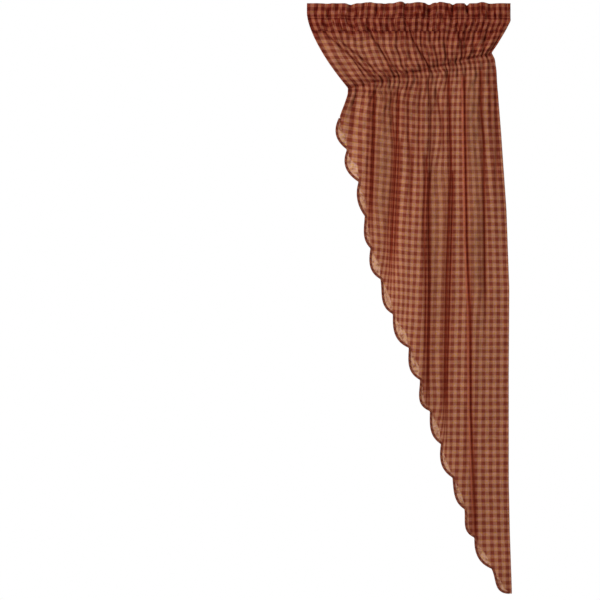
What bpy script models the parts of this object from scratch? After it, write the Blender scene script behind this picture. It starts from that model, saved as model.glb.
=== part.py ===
"""A scalloped prairie curtain panel, hanging from its rod sleeve.

One cloth panel hangs from a ruffled heading with a rod sleeve under it. The cloth fans in to a
slanting line of shirring, the waist, and then falls as a long skirt. Its far side is plain and long.
Its near side is cut away on a slant in fifteen scallops, which are bound with a narrow strip.

The cloth is described by columns and drops. A column q runs down the cloth's threads, from 0 at the
short side to 1 at the long side. A drop is the distance in metres below the heading's top edge.
X runs along the rod, -Y is the front, and the origin is the middle of the heading's top edge.
"""

import math

import bmesh
import bpy

# Driving dimensions, in metres.
HEADING_WIDTH = 0.730
RUFFLE_DROP = 0.052
SLEEVE_DROP = 0.100
WAIST_LEFT = -0.218
WAIST_RIGHT = 0.298
WAIST_DROP_LEFT = 0.304
WAIST_DROP_RIGHT = 0.177
BINDING_WIDTH = 0.009
NOTCH_ROUNDING = 0.002
CLOTH_THICKNESS = 0.0015
BINDING_THICKNESS = 0.0020
RUFFLE_THICKNESS = 0.0032
SLEEVE_WALL = 0.0015
SLEEVE_HALF_DEPTH = 0.0135
SEAM_GAP = 0.0003
BINDING_GAP = 0.0008

# Below the waist the cloth spreads again: x of its first and last column at depths under the waist.
SKIRT_SIDES = (
    # below waist, first column, last column
    (0.000, -0.218, 0.298),
    (0.023, -0.219, 0.309),
    (0.072, -0.236, 0.316),
    (0.102, -0.249, 0.317),
    (0.276, -0.275, 0.331),
    (0.563, -0.300, 0.351),
    (0.845, -0.308, 0.361),
    (1.151, -0.310, 0.359),
    (1.535, -0.310, 0.359),
    (1.727, -0.310, 0.363),
    (1.939, -0.310, 0.371),
)

# The notches between the scallops, from the short side down to the tip. Each scallop swells by a
# share of the distance between its two notches, and its skew puts more of that swell low down.
NOTCHES = (
    # drop, x, swell of the scallop below it, skew
    (0.406, -0.250, 0.205, 0.00),
    (0.524, -0.223, 0.195, -0.10),
    (0.641, -0.181, 0.120, 0.00),
    (0.763, -0.158, 0.110, 0.50),
    (0.879, -0.138, 0.170, 0.25),
    (0.991, -0.101, 0.130, 0.65),
    (1.116, -0.057, 0.170, 0.25),
    (1.237, 0.000, 0.160, 0.35),
    (1.352, 0.040, 0.180, 0.55),
    (1.465, 0.076, 0.140, 0.35),
    (1.582, 0.115, 0.160, 0.20),
    (1.703, 0.157, 0.120, 0.45),
    (1.816, 0.200, 0.150, 0.65),
    (1.918, 0.235, 0.170, 0.15),
    (2.030, 0.298, 0.190, 0.75),
    (2.121, 0.367, 0.000, 0.00),
)
ARC_STEPS = 10
NOTCH_STEPS = 3

# The long creases of the skirt: grooves that run back from the front face.
SKIRT_CREASES = (
    # column at the top and at the foot, drop of the top and of the foot, half width, depth
    (0.075, 0.090, 0.300, 0.520, 0.008, 0.006),
    (0.205, 0.255, 0.210, 1.000, 0.010, 0.018),
    (0.305, 0.330, 0.230, 0.480, 0.008, 0.009),
    (0.372, 0.350, 0.230, 1.100, 0.014, 0.020),
    (0.440, 0.468, 0.200, 0.900, 0.009, 0.013),
    (0.492, 0.515, 0.190, 0.640, 0.008, 0.009),
    (0.560, 0.555, 0.190, 1.560, 0.011, 0.022),
    (0.625, 0.640, 0.190, 0.520, 0.009, 0.010),
    (0.706, 0.650, 0.180, 1.580, 0.012, 0.019),
    (0.795, 0.800, 0.170, 2.080, 0.010, 0.020),
    (0.890, 0.868, 0.150, 1.160, 0.010, 0.015),
    (0.956, 0.948, 0.160, 0.900, 0.010, 0.010),
)

# The slanting creases between the sleeve and the waist.
FAN_CREASES = (
    # column at the top and at the foot, drop of the top and of the foot, half width, depth
    (0.050, 0.150, 0.060, 0.310, 0.012, 0.013),
    (0.130, 0.215, 0.080, 0.300, 0.013, 0.015),
    (0.200, 0.265, 0.130, 0.290, 0.010, 0.010),
    (0.265, 0.320, 0.050, 0.270, 0.012, 0.011),
    (0.375, 0.415, 0.080, 0.270, 0.012, 0.011),
    (0.478, 0.550, 0.060, 0.260, 0.012, 0.013),
    (0.588, 0.606, 0.090, 0.240, 0.010, 0.008),
    (0.645, 0.660, 0.080, 0.240, 0.010, 0.010),
    (0.738, 0.742, 0.050, 0.220, 0.010, 0.010),
    (0.795, 0.800, 0.090, 0.210, 0.009, 0.008),
    (0.845, 0.858, 0.050, 0.210, 0.009, 0.011),
    (0.905, 0.920, 0.080, 0.200, 0.010, 0.010),
)
CREASE_FADE_TOP = 0.070
CREASE_FADE_FOOT = 0.260
FAN_FADE = 0.050
EDGE_STIFFNESS = 0.80
EDGE_REACH = 0.055

# The folds of the ruffle, which also lower its top edge a little.
RUFFLE_FOLDS = (
    # column, half width, depth
    (0.100, 0.030, 0.004),
    (0.216, 0.030, 0.008),
    (0.383, 0.028, 0.006),
    (0.480, 0.020, 0.007),
    (0.600, 0.022, 0.008),
    (0.717, 0.020, 0.007),
    (0.786, 0.016, 0.009),
    (0.905, 0.028, 0.005),
)
RUFFLE_DIP = 0.55

# The shirring gathers along the waist.
GATHER_COUNT = 26
GATHER_DEPTH = 0.0075
GATHER_REACH = 0.055

# Broad swells of the skirt between its creases.
SWELLS = (
    # waves across the cloth, phase, height
    (3.3, 0.10, 0.0045),
    (7.7, 0.55, 0.0025),
)

# Lines along which the flat panel is divided so that it can bend, as shares of the way to the waist.
FAN_ROWS = (0.22, 0.44, 0.64, 0.82)
WAIST_BAND = (-0.034, -0.014, 0.0, 0.014, 0.042)
SKIRT_ROWS = ((0.385, 0.270), (0.440, 0.350), (0.510, 0.450), (0.590, 0.550), (0.670, 0.650))
PLAIN_ROW_STEP = 0.085
PATTERN_FOOT = 2.09
PATTERN_SPAN = 0.60
SKIRT_LINES = (-1.0, -0.5, 0.0, 0.5, 1.0)
FAN_LINES = (-1.0, -0.4, 0.4, 1.0)
SLEEVE_STATIONS = 60

# Each piece's colour, all of one small check in dark red and tan, as it looks from afar.
COLOURS = {
    "panel": (0.29, 0.11, 0.065),
    "heading": (0.26, 0.09, 0.055),
    "scallop_binding": (0.16, 0.05, 0.035),
}


def smooth(low, high, value):
    """Rise smoothly from 0 at low to 1 at high."""
    share = min(max((value - low) / (high - low), 0.0), 1.0)
    return share * share * (3.0 - 2.0 * share)


def read_table(table, key, column):
    """Read one column of a table between its rows."""
    if key <= table[0][0]:
        return table[0][column]
    for row, following in zip(table, table[1:]):
        if key <= following[0]:
            share = (key - row[0]) / (following[0] - row[0])
            return row[column] + share * (following[column] - row[column])
    return table[-1][column]


def waist_drop(q):
    """The drop of the shirring line at a column."""
    return WAIST_DROP_LEFT + q * (WAIST_DROP_RIGHT - WAIST_DROP_LEFT)


def column_x(q, drop):
    """Where a column of the cloth lies along the rod at a drop."""
    waist = waist_drop(q)
    if drop >= waist:
        first = read_table(SKIRT_SIDES, drop - waist, 1)
        last = read_table(SKIRT_SIDES, drop - waist, 2)
        return first + q * (last - first)
    start = 0.12 + 0.225 * q
    share = max((drop / waist - start) / (1.0 - start), 0.0)
    drawn_in = share ** (1.52 - 0.35 * q)
    at_top = (q - 0.5) * HEADING_WIDTH
    at_waist = WAIST_LEFT + q * (WAIST_RIGHT - WAIST_LEFT)
    return at_top + drawn_in * (at_waist - at_top)


def column_at(x, drop):
    """The column that lies at x, found by halving."""
    low, high = -0.2, 1.2
    for _ in range(40):
        middle = 0.5 * (low + high)
        if column_x(middle, drop) < x:
            low = middle
        else:
            high = middle
    return min(0.5 * (low + high), 1.0)


def groove(distance, half_width):
    """A soft trough, 1 deep at its middle and 0 past its half width."""
    if abs(distance) >= half_width:
        return 0.0
    return 0.5 + 0.5 * math.cos(math.pi * distance / half_width)


def crease_depth(creases, q, drop, fade_top, fade_foot):
    """How far a table's creases push the cloth back at one place."""
    width = column_x(1.0, drop) - column_x(0.0, drop)
    depth = 0.0
    for q_top, q_foot, top, foot, half_width, deep in creases:
        if not top < drop < foot:
            continue
        middle = q_top + (q_foot - q_top) * (drop - top) / (foot - top)
        strength = smooth(top, top + fade_top, drop) * (1.0 - smooth(foot - fade_foot, foot, drop))
        depth = max(depth, deep * strength * groove((q - middle) * width, half_width))
    return depth


def freedom(q, drop):
    """How free the cloth is to crease: less near the scalloped edge, which its binding stiffens."""
    from_edge = column_x(q, drop) - read_table(NOTCHES, drop, 1)
    stiffness = smooth(0.30, NOTCHES[0][0], drop) * (1.0 - smooth(0.0, EDGE_REACH, from_edge))
    return 1.0 - EDGE_STIFFNESS * stiffness


def ruffle(q):
    """The heading's folds."""
    return sum(deep * groove(q - middle, half_width) for middle, half_width, deep in RUFFLE_FOLDS)


def gather_middle(index):
    """The column of one shirring gather, unevenly spaced as hand-drawn gathers are."""
    return (index + 0.5 + 0.22 * math.sin(2.4 * index)) / GATHER_COUNT


def gathers(q, drop):
    """The shirring's small folds, deepest on the waist."""
    nearness = 1.0 - smooth(0.0, GATHER_REACH, abs(drop - waist_drop(q)))
    half_width = 0.42 / GATHER_COUNT
    waves = sum(groove(q - gather_middle(index), half_width) for index in range(GATHER_COUNT))
    return GATHER_DEPTH * nearness * waves


def swell(q, drop):
    """The broad waves between the creases, flat again near the tip."""
    strength = smooth(0.12, 0.40, drop) * (1.0 - 0.75 * smooth(0.9, 1.7, drop))
    waves = sum(high * math.sin(math.tau * (count * q + phase)) for count, phase, high in SWELLS)
    return strength * waves


def relief(q, drop):
    """How far the cloth lies behind the curtain's plane."""
    ruffled = ruffle(q) * (1.0 - 0.55 * smooth(0.0, RUFFLE_DROP, drop)) * (1.0 - smooth(0.10, 0.19, drop))
    creased = max(
        crease_depth(SKIRT_CREASES, q, drop, CREASE_FADE_TOP, CREASE_FADE_FOOT),
        crease_depth(FAN_CREASES, q, drop, FAN_FADE, FAN_FADE),
    )
    if drop < SLEEVE_DROP + SEAM_GAP:
        creased = 0.0
    creased *= smooth(SLEEVE_DROP, SLEEVE_DROP + 0.030, drop) * freedom(q, drop)
    return ruffled + creased + gathers(q, drop) + swell(q, drop)


def hang(q, drop):
    """The place in space of one point of the hanging cloth."""
    return (column_x(q, drop), relief(q, drop), -drop)


def scallop_arc(notch, following):
    """One scallop from a notch to the following one, as places and outward directions."""
    drop, x, swell_share, skew = notch
    along = (following[1] - x, following[0] - drop)
    length = math.hypot(*along)
    along = (along[0] / length, along[1] / length)
    outward = (-along[1], along[0])
    arc = []
    for step in range(ARC_STEPS + 1):
        share = step / ARC_STEPS
        lean = 1.0 + skew * (2.0 * share - 1.0)
        rise = 4.0 * swell_share * share * (1.0 - share) * lean
        slope = 4.0 * swell_share * ((1.0 - 2.0 * share) * lean + 2.0 * skew * share * (1.0 - share))
        stand = NOTCH_ROUNDING + length * rise
        place = (
            x + length * share * along[0] + stand * outward[0],
            drop + length * share * along[1] + stand * outward[1],
        )
        size = math.hypot(1.0, slope)
        normal = ((outward[0] - slope * along[0]) / size, (outward[1] - slope * along[1]) / size)
        arc.append((place, normal))
    return arc


def scallop_edge(inset):
    """The scalloped edge as x and drop, set in from its outermost line by a distance.

    Round each notch the edge turns on a small arc.
    """
    inset += NOTCH_ROUNDING
    arcs = [scallop_arc(notch, following) for notch, following in zip(NOTCHES, NOTCHES[1:])]
    points = []
    for number, arc in enumerate(arcs):
        points += [(x - inset * normal[0], drop - inset * normal[1]) for (x, drop), normal in arc]
        if number + 1 == len(arcs):
            break
        end, leaving = arc[-1]
        start, arriving = arcs[number + 1][0]
        for step in range(1, NOTCH_STEPS + 1):
            share = step / (NOTCH_STEPS + 1)
            turn = (
                leaving[0] + share * (arriving[0] - leaving[0]),
                leaving[1] + share * (arriving[1] - leaving[1]),
            )
            size = math.hypot(*turn)
            points.append((
                0.5 * (end[0] + start[0]) - inset * turn[0] / size,
                0.5 * (end[1] + start[1]) - inset * turn[1] / size,
            ))
    return points


def make_object(name, bm, collection):
    """Turn a bmesh into an object with its own material."""
    mesh = bpy.data.meshes.new(name)
    bm.to_mesh(mesh)
    bm.free()
    piece = bpy.data.objects.new(name, mesh)
    collection.objects.link(piece)
    material = bpy.data.materials.new(name + "_cloth")
    material.use_nodes = True
    shader = material.node_tree.nodes["Principled BSDF"]
    shader.inputs["Base Color"].default_value = (*COLOURS[name], 1.0)
    shader.inputs["Roughness"].default_value = 0.9
    shader.inputs["Metallic"].default_value = 0.0
    mesh.materials.append(material)
    mesh.shade_smooth()
    mesh.set_sharp_from_angle(angle=math.radians(50.0))
    return piece


def thicken(piece, thickness):
    """Give a sheet its thickness, half on each side."""
    solidify = piece.modifiers.new("thickness", "SOLIDIFY")
    solidify.thickness = thickness
    solidify.offset = 0.0
    solidify.use_even_offset = True


def divide(bm, start, end, in_zone):
    """Divide the faces of the flat pattern in a zone along the line through two (q, drop) places."""
    faces = [face for face in bm.faces if in_zone(face)]
    geometry = set(faces)
    for face in faces:
        geometry.update(face.edges)
        geometry.update(face.verts)
    across = ((end[0] - start[0]) * PATTERN_SPAN, start[1] - end[1])
    bmesh.ops.bisect_plane(
        bm,
        geom=list(geometry),
        dist=0.00002,
        plane_co=(start[0] * PATTERN_SPAN, -start[1], 0.0),
        plane_no=(-across[1], across[0], 0.0),
    )


def face_place(face):
    """The column and the drop at the middle of a face of the flat pattern."""
    middle = face.calc_center_median()
    return middle.x / PATTERN_SPAN, -middle.y


def in_fan(face):
    q, drop = face_place(face)
    return drop < waist_drop(q) + WAIST_BAND[0]


def in_waist_band(face):
    q, drop = face_place(face)
    return WAIST_BAND[0] < drop - waist_drop(q) < WAIST_BAND[-1]


def in_skirt(face):
    q, drop = face_place(face)
    return drop - waist_drop(q) > WAIST_BAND[-1]


def divide_rows(bm):
    """Divide the pattern across: slanting rows down to the waist and under it, then level ones."""
    def everywhere(face):
        return True

    for share in FAN_ROWS:
        left = SLEEVE_DROP + share * (WAIST_DROP_LEFT + WAIST_BAND[0] - SLEEVE_DROP)
        right = SLEEVE_DROP + share * (WAIST_DROP_RIGHT + WAIST_BAND[0] - SLEEVE_DROP)
        divide(bm, (0.0, left), (1.0, right), everywhere)
    for offset in WAIST_BAND:
        divide(bm, (0.0, WAIST_DROP_LEFT + offset), (1.0, WAIST_DROP_RIGHT + offset), everywhere)
    for left, right in SKIRT_ROWS:
        divide(bm, (0.0, left), (1.0, right), everywhere)
    drop = SKIRT_ROWS[-1][0] + PLAIN_ROW_STEP
    while drop < PATTERN_FOOT:
        divide(bm, (0.0, drop), (1.0, drop), everywhere)
        drop += PLAIN_ROW_STEP


def divide_creases(bm, creases, lines, in_zone):
    """Divide the pattern along each crease of a table, at a few lines across the crease."""
    for q_top, q_foot, top, foot, half_width, _ in creases:
        width = column_x(1.0, foot) - column_x(0.0, foot)

        def along_crease(face):
            return in_zone(face) and face_place(face)[1] < foot

        for line in lines:
            shift = line * half_width / width
            divide(bm, (q_top + shift, top), (q_foot + shift, foot), along_crease)


def divide_gathers(bm):
    """Divide the waist band at every gather's middle and between gathers."""
    for index in range(GATHER_COUNT):
        middle = gather_middle(index)
        divide(bm, (middle, 0.0), (middle, 1.0), in_waist_band)
        if index:
            between = 0.5 * (middle + gather_middle(index - 1))
            divide(bm, (between, 0.0), (between, 1.0), in_waist_band)


def bend(bm):
    """Hang the flat pattern: move each of its points to its place in space."""
    for vertex in bm.verts:
        vertex.co = hang(vertex.co.x / PATTERN_SPAN, -vertex.co.y)


def make_cloth(name, outline, thickness, collection):
    """A piece of the hanging cloth: cut flat to an outline, divided, hung and thickened."""
    bm = bmesh.new()
    bm.faces.new([bm.verts.new((q * PATTERN_SPAN, -drop, 0.0)) for q, drop in outline])
    divide_rows(bm)
    divide_creases(bm, FAN_CREASES, FAN_LINES, in_fan)
    divide_gathers(bm)
    divide_creases(bm, SKIRT_CREASES, SKIRT_LINES, in_skirt)
    bmesh.ops.triangulate(bm, faces=bm.faces[:])
    bend(bm)
    bmesh.ops.recalc_face_normals(bm, faces=bm.faces[:])
    thicken(make_object(name, bm, collection), thickness)


def make_panel(collection):
    """The panel, cut inside the binding."""
    top = SLEEVE_DROP + SEAM_GAP
    outline = [(1.0, top), (0.0, top), (0.0, NOTCHES[0][0])]
    outline += [(column_at(x, drop), drop) for x, drop in scallop_edge(BINDING_WIDTH + BINDING_GAP)]
    outline[-1] = (1.0, outline[-1][1])
    make_cloth("panel", outline, CLOTH_THICKNESS, collection)


def make_binding(collection):
    """The strip that binds the scallops, between the panel's cut edge and the outermost line."""
    outline = scallop_edge(0.0) + scallop_edge(BINDING_WIDTH)[::-1]
    outline = [(column_at(x, drop), drop) for x, drop in outline]
    make_cloth("scallop_binding", outline, BINDING_THICKNESS, collection)


def lens(half_depth, top, foot, steps):
    """One side of the sleeve's section: a bow from a top to a foot, as pairs of depth and drop."""
    points = []
    for step in range(1, steps):
        share = step / steps
        points.append((half_depth * math.sin(math.pi * share) ** 0.8, top + share * (foot - top)))
    return points


def heading_section():
    """The section of ruffle and sleeve: an outer outline and the outline of the hollow."""
    half = 0.5 * RUFFLE_THICKNESS
    bow = lens(SLEEVE_HALF_DEPTH + SLEEVE_WALL, RUFFLE_DROP, SLEEVE_DROP, 5)
    front = [(-half, 0.0), (-half, RUFFLE_DROP)]
    front += [(-depth, drop) for depth, drop in bow]
    front += [(-half, SLEEVE_DROP)]
    back = [(-depth, drop) for depth, drop in reversed(front)]
    hollow = lens(SLEEVE_HALF_DEPTH, RUFFLE_DROP + 0.0025, SLEEVE_DROP - 0.0025, 5)
    inner = [(0.0, RUFFLE_DROP + 0.0025)] + [(-depth, drop) for depth, drop in hollow]
    inner += [(0.0, SLEEVE_DROP - 0.0025)] + [(depth, drop) for depth, drop in reversed(hollow)]
    return front + back, inner


def section_mesh():
    """The heading's section, drawn as a filled curve and extruded along the rod."""
    curve = bpy.data.curves.new("heading_section", "CURVE")
    curve.dimensions = "2D"
    curve.fill_mode = "BOTH"
    curve.extrude = 0.5
    for outline in heading_section():
        spline = curve.splines.new("POLY")
        spline.points.add(len(outline) - 1)
        spline.use_cyclic_u = True
        for point, (depth, drop) in zip(spline.points, outline):
            point.co = (depth, -drop, 0.0, 1.0)
    guide = bpy.data.objects.new("heading_section", curve)
    bpy.context.scene.collection.objects.link(guide)
    bpy.context.view_layer.update()
    evaluated = guide.evaluated_get(bpy.context.evaluated_depsgraph_get())
    mesh = bpy.data.meshes.new_from_object(evaluated)
    bpy.data.objects.remove(guide)
    return mesh


def make_heading(collection):
    """The ruffle and the rod sleeve, one straight extrusion that is then divided and ruffled."""
    bm = bmesh.new()
    bm.from_mesh(section_mesh())
    bmesh.ops.remove_doubles(bm, verts=bm.verts[:], dist=0.00001)
    for station in range(1, SLEEVE_STATIONS):
        everything = bm.verts[:] + bm.edges[:] + bm.faces[:]
        height = station / SLEEVE_STATIONS - 0.5
        bmesh.ops.bisect_plane(bm, geom=everything, dist=0.00002, plane_co=(0, 0, height), plane_no=(0, 0, 1))
    for vertex in bm.verts:
        q = vertex.co.z + 0.5
        depth = vertex.co.x
        drop = -vertex.co.y
        dip = RUFFLE_DIP * ruffle(q) * (1.0 - smooth(0.0, 0.5 * RUFFLE_DROP, drop))
        vertex.co = (column_x(q, drop), depth + relief(q, drop), -drop - dip)
    bmesh.ops.recalc_face_normals(bm, faces=bm.faces[:])
    if bm.calc_volume(signed=True) < 0.0:
        bmesh.ops.reverse_faces(bm, faces=bm.faces[:])
    make_object("heading", bm, collection)


def main():
    for thing in list(bpy.data.objects):
        bpy.data.objects.remove(thing)
    collection = bpy.data.collections.new("scalloped_curtain_panel")
    bpy.context.scene.collection.children.link(collection)
    make_heading(collection)
    make_panel(collection)
    make_binding(collection)


main()
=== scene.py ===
"""Looks of the scalloped prairie curtain panel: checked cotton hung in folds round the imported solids.

The cloth is described by columns and drops, as the solids are. A column q runs down the cloth's
threads, from 0 at the short side to 1 at the long side. A drop is the depth below the heading's top
edge. X runs along the rod and -Y is the front. Lengths are in metres, but tables that are divided by MM
or say so are in millimetres.
"""

import math

import bpy
import numpy as np
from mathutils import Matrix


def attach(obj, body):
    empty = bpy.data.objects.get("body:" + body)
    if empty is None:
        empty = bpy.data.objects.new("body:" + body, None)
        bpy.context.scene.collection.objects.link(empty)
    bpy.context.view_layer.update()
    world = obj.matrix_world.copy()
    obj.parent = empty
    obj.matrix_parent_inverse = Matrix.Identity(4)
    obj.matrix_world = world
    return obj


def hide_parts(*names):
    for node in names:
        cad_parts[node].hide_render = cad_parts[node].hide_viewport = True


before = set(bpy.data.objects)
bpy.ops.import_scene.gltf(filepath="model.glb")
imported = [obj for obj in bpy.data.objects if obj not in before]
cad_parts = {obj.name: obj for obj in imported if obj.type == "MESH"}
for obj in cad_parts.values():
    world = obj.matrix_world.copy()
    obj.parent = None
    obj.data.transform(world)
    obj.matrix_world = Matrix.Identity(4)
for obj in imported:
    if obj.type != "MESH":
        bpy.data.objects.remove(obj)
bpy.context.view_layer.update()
MM = 1000.0

# Sizes that the solids have too.
HEADING_WIDTH = 0.730
RUFFLE_DROP = 0.052
SLEEVE_DROP = 0.100
WAIST_LEFT = -0.218
WAIST_RIGHT = 0.298
WAIST_DROP_LEFT = 0.304
WAIST_DROP_RIGHT = 0.177
MEAN_WAIST_DROP = 0.5 * (WAIST_DROP_LEFT + WAIST_DROP_RIGHT)
BINDING_WIDTH = 0.009
NOTCH_ROUNDING = 0.006
SLEEVE_BOW = 0.0080

# The share of the way to the waist where the fan starts to draw in, and the power of its curve: each at
# the short side, and its change to the long side.
FAN_START = (0.12, 0.225)
FAN_CURVE = (1.52, -0.35)

# The cloth. The heading's two layers stand apart by a gap, and the ruffle's open a little more halfway
# down. A small tuck is sewn in at the ruffle's seam.
CLOTH_WIDTH = 0.9144
CHECK = 0.0268
YARN_PITCH = 0.0013
CLOTH_THICKNESS = 0.0008
LAYER_GAP = 0.0011
OPENING = 0.0012
TUCK = 0.0197

# The side hems: the columns of their inner edges, the depth of the groove there, their distance behind
# the panel, and the cloth that the long one takes up.
SHORT_HEM = 0.016
LONG_HEM = 0.984
HEM_GROOVE = 0.0012
HEM_DISTANCE = 0.0013
HEM_TURN = 0.0088

# How far the weft threads rise towards the short side of the skirt, and over what share of its columns.
WEFT_RISE = 0.044
WEFT_RISE_REACH = 0.52
SKIRT_TAKE_UP = 0.0591

# Below the waist the cloth spreads again: x of its first and last column at depths under the waist.
SKIRT_SIDES = np.array((
    # below waist, first column, last column
    (0, -218, 298),
    (23, -219, 309),
    (72, -236, 316),
    (102, -249, 317),
    (276, -275, 331),
    (563, -300, 351),
    (845, -308, 361),
    (1151, -310, 359),
    (1535, -310, 359),
    (1727, -310, 363),
    (1939, -310, 371),
)) / MM

# Known threads of the cloth: how much cloth lies between each and the long side, its column down to
# the waist, and its x at the drops below that. Cloth and x are in millimetres.
THREAD_DROPS = np.array((386, 569, 784, 999, 1214, 1429, 1680, 2118)) / MM
THREADS = (
    # cloth, column, x at each drop
    (77, 0.928, (261, 274, 289, 295, 295, 294, 294, 306)),
    (238, 0.75, (166, 165, 164, 161, 157, 153, 146, 137)),
    (506, 0.503, (37, 36, 28, 17, 7, -4, -17, -38)),
    (854, 0.11, (-167, -171, -182, -194, -207, -218, -228, -246)),
)

# The notches between the scallops. Each scallop swells by a share of the distance between its two
# notches, and its skew puts more of that swell low down. A crescent of it gets a painted highlight,
# where the scallop curls forward to the light.
NOTCHES = np.array((
    # drop, x, swell of the scallop below it, skew, width of its crescent of painted highlight
    (406, -250, 0.205, 0.0, 22),
    (524, -223, 0.195, -0.1, 34),
    (641, -181, 0.12, 0.0, 21),
    (763, -158, 0.11, 0.5, 13),
    (879, -138, 0.17, 0.25, 28),
    (991, -101, 0.13, 0.65, 23),
    (1116, -57, 0.17, 0.25, 31),
    (1237, 0, 0.16, 0.35, 27),
    (1352, 40, 0.18, 0.55, 12),
    (1465, 76, 0.14, 0.35, 24),
    (1582, 115, 0.16, 0.2, 15),
    (1703, 157, 0.12, 0.45, 19),
    (1816, 200, 0.15, 0.65, 4),
    (1918, 235, 0.17, 0.15, 23),
    (2030, 298, 0.19, 0.75, 15),
    (2121, 367, 0.0, 0.0, 0),
)) / (MM, MM, 1, 1, MM)

ARC_STEPS = 22
NOTCH_STEPS = 5

# The skirt's creases, in millimetres. Each follows a path of (x, drop) points. The cloth on its left
# stands forward by its lip and the cloth on its right lies back by its shelf. A reddened band of painted
# shade lies along it, reaching further on its left by its shade reach.
SKIRT_CREASES = (
    # path, depth, lip, shelf, shade reach, cloth folded away
    (((-203, 330), (-196, 386), (-207, 490)), 9, 1, 0, 8, 4),
    (((-122, 289), (-127, 526), (-133, 705), (-137, 927)), 13, 4, 2, 16, 34),
    (((-142, 490), (-148, 580), (-153, 866)), 8, 1, 1, 5, 10),
    (((-84, 289), (-85, 386), (-92, 490)), 9, 2, 1, 5, 10),
    (((-63, 296), (-61, 400), (-51, 526), (-62, 676), (-92, 1010)), 11, 1, 0, 8, 24),
    (((-39, 289), (-38, 386), (-47, 569), (-74, 1100)), 14, 2, 0, 8, 32),
    (((-33, 472), (-40, 676), (-60, 1082)), 12, 0, 3, 5, 20),
    (((-5, 268), (-3, 479), (9, 569), (-1, 884)), 11, 2, 1, 5, 12),
    (((38, 253), (33, 669)), 10, 1, 1, 5, 10),
    (((67, 246), (78, 386), (72, 795)), 10, 3, 2, 6, 20),
    (((76, 580), (71, 705), (74, 999), (66, 1566)), 13, 4, 3, 12, 40),
    (((63, 526), (53, 784), (59, 999), (60, 1440)), 12, 1, 0, 5, 14),
    (((93, 296), (105, 365), (122, 436), (121, 580)), 10, 2, 1, 5, 14),
    (((141, 232), (151, 569), (135, 999), (125, 1619)), 13, 3, 1, 8, 40),
    (((156, 580), (157, 669), (137, 1322), (134, 1637)), 13, 1, 2, 5, 30),
    (((198, 239), (208, 849), (219, 1107), (222, 1440), (239, 1895), (248, 2103)), 13, 5, 1, 8, 10),
    (((207, 1422), (209, 1745)), 7, 1, 0, 5, 4),
    (((258, 218), (258, 386), (268, 490), (274, 1225)), 13, 3, 1, 6, 10),
    (((288, 225), (298, 526)), 10, 1, 1, 5, 8),
    (((312, 210), (315, 820)), 10, 1, 1, 6, 5),
)

# The slanting creases of the fan, some of which begin on the sleeve, in millimetres.
FAN_CREASES = (
    # path, depth, lip, shelf, shade reach, cloth folded away
    (((-339, 67), (-268, 135), (-185, 210), (-103, 286)), 12, 4, 3, 7, 10),
    (((-264, 117), (-196, 175), (-149, 210), (-103, 261)), 11, 4, 3, 7, 10),
    (((-218, 175), (-142, 282)), 8, 3, 2, 5, 6),
    (((-167, 56), (-114, 146), (-78, 200), (-53, 257)), 11, 4, 3, 7, 10),
    (((-110, 132), (-38, 250)), 7, 2, 1, 5, 6),
    (((-63, 132), (-38, 167), (-13, 261)), 9, 3, 2, 5, 6),
    (((-4, 74), (-13, 135), (12, 225)), 8, 1, 1, 5, 6),
    (((-6, 63), (12, 128), (73, 225), (80, 261)), 12, 4, 3, 7, 10),
    (((60, 56), (42, 117), (51, 182)), 9, 1, 2, 5, 6),
    (((76, 124), (94, 167), (112, 246)), 9, 2, 1, 5, 6),
    (((127, 89), (127, 135), (141, 232)), 9, 2, 1, 5, 6),
    (((166, 78), (184, 114), (188, 150), (193, 221)), 11, 1, 1, 5, 6),
    (((-44, 68), (-42, 150)), 9, 1, 1, 4, 4),
    (((-152, 226), (-124, 275)), 9, 1, 1, 4, 4),
    (((-137, 217), (-112, 268)), 10, 1, 1, 4, 4),
    (((-96, 225), (-76, 268)), 9, 1, 1, 4, 4),
    (((-83, 221), (-60, 266)), 10, 1, 1, 4, 4),
    (((-51, 210), (-35, 254)), 10, 1, 1, 4, 4),
    (((112, 62), (108, 150)), 10, 1, 1, 4, 4),
    (((209, 78), (202, 121), (202, 218)), 10, 2, 1, 5, 6),
    (((238, 56), (232, 135), (234, 203)), 10, 1, 1, 5, 6),
    (((288, 63), (259, 210)), 11, 2, 1, 5, 6),
    (((338, 103), (270, 210)), 10, 2, 1, 5, 6),
)

# The pressed creases of the ruffle, down to its seam, in millimetres.
RUFFLE_CREASES = [(((top, 0), (foot, 56)), *sizes, 4) for top, foot, *sizes in (
    # x at the top, x at the foot, depth, lip, shelf, shade reach
    (-214, -209, 5, 1, 1, 4),
    (-159, -167, 7, 1, 2, 4),
    (-79, -81, 5, 1, 0, 4),
    (-17, -17, 10, 1, 0, 3),
    (-3, -4, 10, 0, 2, 3),
    (66, 73, 9, 2, 0, 3),
    (84, 80, 8, 0, 2, 3),
    (119, 119, 5, 1, 0, 4),
    (161, 157, 12, 2, 1, 4),
    (200, 220, 12, 2, 2, 4),
    (234, 241, 9, 0, 1, 4),
    (257, 252, 7, 1, 0, 4),
    (291, 296, 5, 1, 0, 4),
)]

# The folds of the ruffle, which also lower its top edge.
RUFFLE_FOLDS = np.array((
    # column, half width in columns, depth, dip of the top edge
    (0.1, 0.03, 4, 1.5),
    (0.216, 0.032, 8, 5),
    (0.3, 0.012, 3, 1),
    (0.383, 0.02, 5, 1),
    (0.483, 0.012, 7, 2.5),
    (0.6, 0.022, 6, 5.5),
    (0.64, 0.01, 4, 2),
    (0.717, 0.018, 5, 5),
    (0.786, 0.014, 6, 7.5),
    (0.905, 0.028, 5, 1),
    (0.303, 0.045, -2, -4),
    (0.46, 0.042, -3, -6),
    (0.548, 0.046, -2, -4.2),
    (0.654, 0.052, -3, -4.4),
    (0.86, 0.032, -2, -4),
)) / (1, 1, MM, MM)

FOLD_DEPTH, FOLD_DIP = 2, 3
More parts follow.
